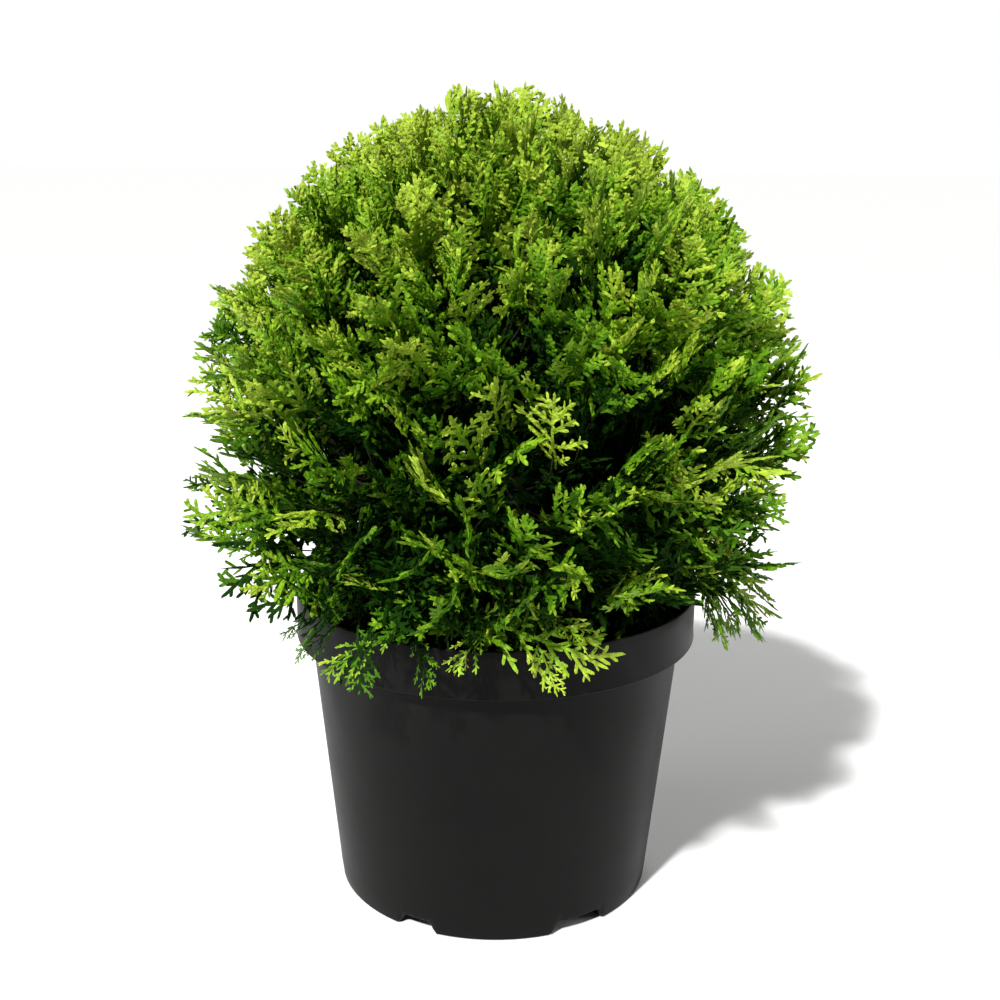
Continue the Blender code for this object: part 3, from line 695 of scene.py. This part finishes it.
def stillBorne(form, fits):
    # a piece stays only where all that carry it stay: along the axis, then along its side twig
    twig, part, tip = form[:, 8].astype(int), form[:, 9].astype(int), form[:, 10] > 0
    kept = np.zeros(fits.shape, bool)
    for number in range(twig.max() + 1):
        parts = np.flatnonzero((twig == number) & ~tip)
        along = np.logical_and.accumulate(fits[:, parts], axis=1)
        if number == 0:
            axis = along
        else:
            along &= axis[:, [min(int(form[parts[0], 1] * axis.shape[1]), axis.shape[1] - 1)]]
        kept[:, parts] = along
        ends = np.flatnonzero((twig == number) & tip)
        kept[:, ends] = fits[:, ends] & along[:, part[ends]]
    return kept


# outlines of one leaf, foot at y = 0 and point at y = 1: lumpy with scales, and a kite for the shade
lumpyOutline = np.array([(-0.42, 0.0), (-0.5, 0.42), (-0.42, 0.9), (0.08, 1.0), (0.46, 0.78), (0.44, 0.12)])
kiteOutline = np.array([(-0.06, 0.0), (-0.5, 0.62), (0.0, 1.0), (0.5, 0.52)])
crestPlace = 0.42  # where along a leaf its faces are raised


def scaleLeaves(outline, start, end, facing, width):
    # each leaf is the outline on its own axes, with a raised point on each face:
    # point = start + along * length * y + across * width * x + flat * thick * z
    length, along = norm(end - start, axis=1), unit(end - start)
    thick = np.minimum(growth["thickness"], width * growth["bulge"])
    across = unit(np.cross(along, facing))
    flat = np.cross(across, along)
    corners = len(outline)
    x = np.append(outline[:, 0], (0, 0))
    y = np.append(outline[:, 1], (crestPlace, crestPlace))
    z = np.append(np.zeros(corners), (0.5, -0.5))
    points = start[:, None]
    for axis, size, share in ((along, length, y), (across, width, x), (flat, thick, z)):
        points = points + axis[:, None] * (size[:, None] * share)[..., None]
    ring = np.arange(corners)
    faces = np.concatenate([fanTriangles(corners, ring, False), fanTriangles(corners + 1, ring, True)])
    first = np.arange(len(start))[:, None, None] * (corners + 2)
    return points.reshape(-1, 3), (first + faces).reshape(-1, 3)


formRng = default_rng(spray["seed"])
forms = {style: [sprayForm(formRng, *spec) for k in range(spray["forms"])] for style, spec in styles.items()}
print("spray forms:", sum(map(len, forms.values())))


# Layers of sprays in each mass, from the outline inwards, by the solids' rule

# the tone sinks layer by layer inwards, so deeper sprays take darker tints: painted shade of the crown's
# inside
layers = dict(
    outer=dict(tries=98, crowding=1.0, depth=(-0.003, 0.01), length=(0.046, 0.07), tone=0.5,
        roll=1.25, noise=0.22, plume=0.45),
    under=dict(tries=58, crowding=0.95, depth=(0.016, 0.034), length=(0.046, 0.064), tone=0.13, style="shade",
        roll=1.2, noise=0.3, plume=-0.15),
    inner=dict(tries=84, crowding=0.75, depth=(0.034, 0.062), length=(0.05, 0.07), tone=-0.2, style="deep",
        roll=1.5, noise=0.35, plume=0.0),
    heart=dict(tries=42, crowding=0.5, depth=(0.062, 0.1), length=(0.05, 0.07), tone=-0.4, style="deep",
        roll=1.5, noise=0.45, plume=0.0),
)
# what changes from ring to ring; the ring's tone is painted light and shade, higher on the crest and lower
# low down, patchy is how uneven the tone is, and the style is the outer layer's
habits = dict(
    top=dict(fill=2.8, size=0.77, slim=0.94, leastRoll=0.0, tone=0.2, patchy=0.08, style="full"),
    upper=dict(fill=1.9, size=0.83, slim=0.88, leastRoll=0.15, tone=0.03, patchy=0.13, style="full"),
    middle=dict(fill=1.12, size=0.98, slim=0.78, leastRoll=0.5, tone=-0.09, patchy=0.24, style="feathered"),
    lower=dict(fill=1.0, size=0.98, slim=0.72, leastRoll=0.65, tone=-0.35, patchy=0.35, style="feathered"),
)
growth = dict(
    opening=radians(52), turnUneven=0.35, upward=0.58, upwardAbove=-0.25, upwardUneven=0.25,
    forward=0.03, cleft=0.009, cleftWidth=0.028, cleftShade=0.2,  # deeper, and darker by painted shade, where masses meet
    ragged=(0.001, 0.0042), lead=0.015,  # how far a spray, and its axis, may pass the outline
    waveHeight=0.0025, waveLength=0.5, waveSeed=77,  # of the outline
    curl=(-0.12, 0.12), cup=(-0.5, 0.9), sag=(-0.04, 0.08), breadth=(0.8, 1.2), fewest=8,
    twist=0.7, twistFrom=0.3, ripple=0.03, rippleTurns=(11, 7), unevenFacing=0.4,
    thickness=0.0016, bulge=0.72, potClear=0.0035, twigClear=0.001,
    tipTone=0.66, tipMiddle=0.47, frondTone=0.09, leafTone=0.03,
    dryShare=0.003, dryBelow=0.4, dryTone=9.0, seed=312,
)
# gaps that show the sky in the photograph: two points of each gap's line, and its radius
skyGaps = [
    ((-0.1121, -0.12, 0.267), (-0.1612, 0.16, 0.1994), 0.0055),
    ((-0.0895, -0.12, 0.23), (-0.1288, 0.16, 0.1464), 0.004),
]
gapWaves = dict(share=0.55, length=0.014, seed=9)
# lowest height of the foliage at the rim's edge, by azimuth in degrees from +X; it rises outwards
hem = dict(
    azimuth=(-180, -165, -140, -115, -100, -85, -75, -30, -14, 14, 60, 110, 150, 180),
    height=(0.158, 0.158, 0.16, 0.168, 0.175, 0.177, 0.187, 0.187, 0.16, 0.154, 0.166, 0.158, 0.166, 0.158),
    rise=0.36,
)
# where the photograph's outline swells or sinks: azimuth and rise in degrees, mm of reach, width in degrees
swells = np.array([
    (174, 23, 23, 8), (177, 12, 10, 7), (180, 1, 7, 7), (-178, -12, 27, 8),
    (-173, -25, -23, 9), (-170, -37, -14, 7), (-4, -17, -20, 11), (7, 27, 14, 12),
    (3, 12, 11, 9), (1, 3, 11, 7), (32, 66, -40, 9), (143, 67, 11, 7), (156, 57, 5, 5),
    (21, 54, 8, 7),
])


def leafReach(rays):
    # the solids' reach, a slow unevenness, and swell * exp(-(angle / width)^2) for each swell
    heading = np.stack([directionOf(*np.radians(swell[:2])) for swell in swells])
    angle = np.degrees(np.arccos(np.clip(rays @ heading.T, -1, 1)))
    swell = (swells[:, 2] / 1000 * np.exp(-((angle / swells[:, 3]) ** 2))).sum(-1)
    uneven = growth["waveHeight"] * waves(rays, growth["waveLength"], growth["waveSeed"])
    return crownReach(rays) + swell + uneven


def ownShare(tips, mass):
    # how much nearer each tip is to the mass's own anchor than to any other
    others = np.array([other["anchor"] for other in masses if other is not mass])
    mine = norm(tips - mass["anchor"], axis=-1)
    return norm(tips[:, None] - others, axis=-1).min(1) - mine


def inPot(points):
    # true inside the rim, the wall or the potting mix, with a little room
    clear = growth["potClear"]
    radius = np.hypot(points[..., 0], points[..., 1])
    height = points[..., 2]
    aboveSoil = (height > soil["top"] + clear) & (radius < pot["rimRadius"] - pot["wall"] - clear)
    return ~((height > pot["height"] + clear) | (radius > pot["rimRadius"] + clear) | aboveSoil)


def underHem(points):
    # true outside the rim and lower than the hem
    past = np.hypot(points[..., 0], points[..., 1]) - pot["rimRadius"]
    azimuth = np.degrees(np.arctan2(points[..., 1], points[..., 0]))
    lowest = np.interp(azimuth, hem["azimuth"], hem["height"])
    return (past > -growth["potClear"]) & (points[..., 2] < lowest + hem["rise"] * past)


def inGap(points):
    # true nearer to a gap's line than the gap's uneven radius
    gap = np.zeros(points.shape[:-1], bool)
    uneven = 1 + gapWaves["share"] * waves(points, gapWaves["length"], gapWaves["seed"])
    for start, end, radius in skyGaps:
        line = unit(np.array(end) - start)
        arm = points - np.array(start)
        gap |= norm(arm - line * (arm @ line)[..., None], axis=-1) < radius * uneven
    return gap


def beyond(points):
    # how far each point is outside the leaves' outline
    ray = points - crown["middle"]
    return norm(ray, axis=-1) - leafReach(unit(ray))


def planSprays(mass, layer, rng):
    # tips lie by the golden angle about the heading, and each spray grows out and up to its tip
    habit = habits[mass["ring"]]
    side = unit(np.cross(mass["heading"], (0.31, 0.21, 0.93)))
    other = np.cross(mass["heading"], side)
    count = round(layer["tries"] * habit["fill"] ** layer["crowding"])
    share = (np.arange(count) + rng.uniform(0.2, 0.8, count)) / count
    opening = growth["opening"] * np.sqrt(share)
    turn = np.arange(count) * goldenAngle + swing(rng, growth["turnUneven"], count)
    across = side * np.cos(turn)[:, None] + other * np.sin(turn)[:, None]
    rays = mass["heading"] * np.cos(opening)[:, None] + across * np.sin(opening)[:, None]
    reach = leafReach(rays) * mass["fullness"]
    inside = ownShare(crown["middle"] + rays * reach[:, None], mass)
    cleft = np.clip(1 - inside / growth["cleftWidth"], 0, 1)
    depth = rng.uniform(*layer["depth"], count) + growth["cleft"] * cleft**2
    tips = crown["middle"] + rays * (reach - depth)[:, None]
    lean = np.where(rays[:, 2] > growth["upwardAbove"], growth["upward"], 0.0)
    lean = lean + swing(rng, growth["upwardUneven"], count)
    plume = unit(tips - mass["anchor"] + growth["forward"] * mass["heading"])
    noise = layer["noise"] * rng.normal(size=(count, 3))
    along = unit(rays + plume * layer["plume"] + upright * lean[:, None] + noise)
    length = rng.uniform(*layer["length"], count) * habit["size"]
    level = np.cross(along, upright)
    level = unit(np.where(norm(level, axis=1, keepdims=True) < 0.2, side, level))
    roll = rng.uniform(habit["leastRoll"], layer["roll"], count) * rng.choice((-1, 1), count)
    flat = level * np.cos(roll)[:, None] + np.cross(along, level) * np.sin(roll)[:, None]
    # painted light and shade: lower tone in deeper layers, lower rings and clefts, higher on the crest
    tone = layer["tone"] + habit["tone"] - growth["cleftShade"] * cleft
    tone = tone + habit["patchy"] * rng.normal(size=count)
    plan = dict(tip=tips, along=along, flat=flat, length=length, tone=tone)
    plan["slim"] = np.full(count, habit["slim"])
    plan.update({key: rng.uniform(*growth[key], count) for key in ("curl", "cup", "sag")})
    plan["form"] = rng.integers(0, spray["forms"], count)
    plan["breadth"] = rng.uniform(*growth["breadth"], count)
    plan["ragged"] = rng.normal(*growth["ragged"], count)
    plan["twist"] = swing(rng, growth["twist"], count)
    plan["phase"] = rng.uniform(0, tau, count)
    plan["dry"] = rng.uniform(size=count) < growth["dryShare"]
    return {key: value[inside > 0] for key, value in plan.items()}


def spreadForm(plan, form):
    # one fan on every spray of the plan: its plane turns by twist * (y - 0.3), and (x, y, z) goes to
    # root + (along * y + across * x + flat * bulge - up * sag * y^2) * length, with
    # bulge = z + curl * y^2 + cup * x^2 + ripple * sin(11 x + 7 y + phase)
    keys = ("along", "flat", "length", "curl", "cup", "sag", "twist", "phase", "breadth")
    along, flat, length, curl, cup, sag, twist, phase, breadth = (plan[key][:, None] for key in keys)
    across = unit(np.cross(along, flat))
    root = plan["tip"][:, None] - along * length[..., None]
    ripple, (turnsX, turnsY) = growth["ripple"], growth["rippleTurns"]

    def frameAt(y):
        turn = (twist * (y - growth["twistFrom"]))[..., None]
        return across * np.cos(turn) + flat * np.sin(turn), flat * np.cos(turn) - across * np.sin(turn)

    def carry(x, y, z):
        bulge = z + curl * y**2 + cup * x**2 + ripple * np.sin(turnsX * x + turnsY * y + phase)
        wide, high = frameAt(y)
        local = along * y[..., None] + wide * (x * breadth)[..., None] + high * bulge[..., None]
        return root + (local - upright * (sag * y**2)[..., None]) * length[..., None]

    columns = [np.broadcast_to(form[:, k], (len(length), len(form))) for k in range(8)]
    start, end = carry(*columns[:3]), carry(*columns[3:6])
    x, y = columns[:2]
    wide, high = frameAt(y)
    facing = unit(high - wide * (2 * cup * x)[..., None] - along * (2 * curl * y)[..., None])
    return start, end, facing, form[:, 6] * length * plan["slim"][:, None], columns[7]


def bearTips(plan, style, lumpy, hemmed, rng):
    # the pieces of a plan's sprays as arrays, with their tones, and which sprays bear any; what would cut the
    # pot or pass the outline is left out, and so is a spray that keeps too few
    parts, bearing = [], np.zeros(len(plan["tip"]), bool)
    for number in np.unique(plan["form"]):
        chosen = plan["form"] == number
        own = {key: value[chosen] for key, value in plan.items()}
        form = forms[style][number]
        start, end, facing, width, outward = spreadForm(own, form)
        twig = form[:, 8].astype(int)
        frond = rng.normal(size=(len(start), twig.max() + 1))[:, twig]
        tone = own["tone"][:, None] + growth["tipTone"] * (outward - growth["tipMiddle"])
        tone = tone + growth["frondTone"] * frond
        tone += growth["leafTone"] * rng.normal(size=outward.shape)
        tone = np.where(own["dry"][:, None] & (outward < growth["dryBelow"]), growth["dryTone"], tone)
        lead = growth["lead"] * rng.uniform(size=(len(start), 1)) * (twig == 0)
        fits = ~(inPot(start) | inPot(end) | inGap((start + end) / 2))
        fits &= beyond(end) < own["ragged"][:, None] + lead
        if hemmed:
            fits &= ~underHem(end)
        clear = stillBorne(form, fits)
        bearing[chosen] = clear.sum(1) > growth["fewest"]
        clear &= bearing[chosen][:, None]
        parts.append([a[clear] for a in (start, end, facing, width, tone, np.full(outward.shape, lumpy))])
    arrays = [np.concatenate([part[k] for part in parts]) for k in range(6)]
    arrays[2] = unit(arrays[2] + growth["unevenFacing"] * rng.normal(size=arrays[2].shape))
    return arrays, bearing


# young twigs: olive green, their own colour, darkened with painted shade
youngWood = dict(
    lastKnot=0.66, bend=0.45, overlap=0.01, steps=5, sides=4, radii=(0.0008, 0.0005),
    colour=(0.012, 0.016, 0.005), roughness=0.8, specular=0.1,
)


def twigPaths(mass, plan):
    # each spray's twig leaves the bough's last third and bends into the spray's line
    root = plan["tip"] - plan["along"] * plan["length"][:, None]
    order = np.argsort(np.argsort(norm(root - mass["anchor"], axis=1)))
    knots = np.linspace(1.0, youngWood["lastKnot"], len(root))[order]
    start = mass["bough"][np.round(knots * (len(mass["bough"]) - 1)).astype(int)]
    reach = norm(root - start, axis=1, keepdims=True)
    bend = root - plan["along"] * youngWood["bend"] * reach
    return curve(start, bend, root + plan["along"] * youngWood["overlap"], youngWood["steps"])


def makeTwigs(paths):
    # olive green tubes that taper evenly, darkened almost to black: painted shade of the crown's inside
    radii = np.broadcast_to(np.linspace(*youngWood["radii"], paths.shape[1]), paths.shape[:2])
    material = leafMaterial("youngWood", youngWood)
    makePiece("twigs", *tubes(paths, radii, youngWood["sides"]), material, "bark", [])


def growMass(mass, rng):
    # all layers of one mass, without the sprays whose twigs would leave the crown or cut the pot
    grown, twigs = [], []
    for layerName, layer in layers.items():
        plan = planSprays(mass, layer, rng)
        paths = twigPaths(mass, plan)
        reached = ~(inPot(paths) | (beyond(paths) > -growth["twigClear"])).any(1)
        plan = {key: value[reached] for key, value in plan.items()}
        if reached.any():
            style = layer.get("style", habits[mass["ring"]]["style"])
            arrays, bearing = bearTips(plan, style, layerName == "outer", True, rng)
            grown.append(arrays)
            twigs.append(paths[reached][bearing])
    return [np.concatenate([part[k] for part in grown]) for k in range(6)], np.concatenate(twigs)


# sprays that hang over the rim, as the photograph shows them: root and tip in mm, tone, breadth
hangers = [
    ((-13, -114, 193), (51, -137, 182), 0.95, 1),
    ((18, -122, 190), (30, -139, 164), 1, 0.9),
    ((22, -116, 195), (47, -134, 190), 0.9, 0.8),
    ((-2, -117, 192), (-20, -135, 174), 0.85, 0.9),
    ((-49, -103, 180), (-85, -119, 167), 0.75, 0.8),
    ((-40, -108, 182), (-30, -131, 163), 0.45, 0.8),
    ((-68, -100, 184), (-67, -126, 158), 0.35, 0.9),
    ((-78, -85, 180), (-101, -86, 161), 0.3, 0.9),
    ((-88, -72, 182), (-112, -70, 166), 0.4, 0.7),
    ((107, -42, 199), (121, -53, 161), 0.62, 0.8),
    ((108, -14, 197), (153, -22, 162), 0.78, 0.85),
    ((109, -30, 198), (133, -40, 158), 0.66, 0.9),
    ((114, -4, 196), (160, -4, 170), 0.74, 0.8),
    ((106, -46, 194), (128, -62, 163), 0.6, 0.8),
    ((107, -34, 198), (143, -50, 160), 0.55, 1),
    ((110, -20, 199), (149, -34, 161), 0.6, 1),
    ((116, -10, 197), (123.5, -12, 147), 0.55, 0.75),
]
hanging = dict(upward=0.8, uneven=0.15, toneDrop=0.3, slim=0.62, sag=0.02, ragged=0.05,
               curl=(-0.15, 0.05), cup=(-0.3, 0.5), twist=0.3)


def planHangers(rng):
    # the same fans, laid out as listed; each shows its face outwards and up
    root, tip, tone, breadth = (np.array([row[k] for row in hangers]) for k in range(4))
    root, tip = root / 1000, tip / 1000
    count = len(hangers)
    reach = tip - root
    length = norm(reach, axis=1)
    along = reach / length[:, None]
    outward = unit(root * (1, 1, 0)) + np.array((0, 0, hanging["upward"]))
    facing = outward + hanging["uneven"] * rng.normal(size=(count, 3))
    flat = unit(facing - along * (facing * along).sum(1, keepdims=True))
    plan = dict(tip=tip, along=along, flat=flat, length=length, tone=tone - hanging["toneDrop"],
                breadth=breadth, form=np.arange(count) % spray["forms"], dry=np.zeros(count, bool))
    plan.update({key: np.full(count, hanging[key]) for key in ("slim", "sag", "ragged")})
    plan.update({key: rng.uniform(*hanging[key], count) for key in ("curl", "cup")})
    plan["twist"] = swing(rng, hanging["twist"], count)
    plan["phase"] = rng.uniform(0, tau, count)
    return plan


def growCrown(rng):
    # the leaves of every mass by name, hangers with the nearest lower mass, and all twigs
    grown, twigs = {}, []
    for mass in masses:
        grown[mass["name"]], paths = growMass(mass, rng)
        twigs.append(paths)
    hung = planHangers(rng)
    lowest = [mass for mass in masses if mass["ring"] == "lower"]
    nearest = [min(lowest, key=lambda mass: norm(mass["anchor"] - tip)) for tip in hung["tip"]]
    for mass in lowest:
        chosen = np.array([near is mass for near in nearest])
        if chosen.any():
            plan = {key: value[chosen] for key, value in hung.items()}
            arrays, bearing = bearTips(plan, "feathered", True, False, rng)
            twigs.append(twigPaths(mass, plan)[bearing])
            grown[mass["name"]] = [np.concatenate(pair) for pair in zip(grown[mass["name"]], arrays)]
    return grown, np.concatenate(twigs)


# each tint takes the leaves whose tone is above its own step and below the next one; the dark tints, deep
# most of all, carry the painted shade that the tone holds
tints = dict(
    dry=dict(colour=(0.2, 0.095, 0.024), above=5.0, roughness=0.6, specular=0.1),
    bright=dict(colour=(0.326, 0.458, 0.033), above=0.8, roughness=0.4, specular=0.17),
    fresh=dict(colour=(0.192, 0.346, 0.015), above=0.6, roughness=0.4, specular=0.15),
    green=dict(colour=(0.106, 0.238, 0.006), above=0.41, roughness=0.44, specular=0.12),
    leafy=dict(colour=(0.052, 0.144, 0.004), above=0.2, roughness=0.5, specular=0.08),
    deep=dict(colour=(0.008, 0.032, 0.002), above=-9, roughness=0.75, specular=0.03),
)
groups = dict(crest=("top", "upper"), girth=("middle",), skirt=("lower",))
sharpRims = radians(75)


def makeLeaves(name, arrays, dealt, material, nodes):
    # the dealt leaves in one mesh: lumpy ones, then kites
    meshes = []
    for lumpy, outline in ((True, lumpyOutline), (False, kiteOutline)):
        own = dealt & (arrays[5] == lumpy)
        meshes.append(scaleLeaves(outline, *(array[own] for array in arrays[:4])))
    (points, triangles), (kitePoints, kiteTriangles) = meshes
    triangles = np.concatenate([triangles, kiteTriangles + len(points)])
    points = np.concatenate([points, kitePoints])
    piece = makePiece(name, points, triangles, [], material, "foliage", nodes)
    piece.data.set_sharp_from_angle(angle=sharpRims)


def makeFoliage(grown):
    # one piece for each tint and group of rings
    for tint, spec in tints.items():
        above = spec["above"]
        below = min([other["above"] for other in tints.values() if other["above"] > above], default=99)
        material = leafMaterial("foliage_" + tint, spec)
        for group, rings in groups.items():
            own = [mass["name"] for mass in masses if mass["ring"] in rings]
            arrays = [np.concatenate([grown[name][k] for name in own]) for k in range(6)]
            dealt = (arrays[4] >= above) & (arrays[4] < below)
            if dealt.any():
                nodes = ["foliage_" + name for name in own]
                makeLeaves(f"foliage_{tint}_{group}", arrays, dealt, material, nodes)


leaves, twigs = growCrown(default_rng(growth["seed"]))
makeTwigs(twigs)
makeFoliage(leaves)
print("foliage")
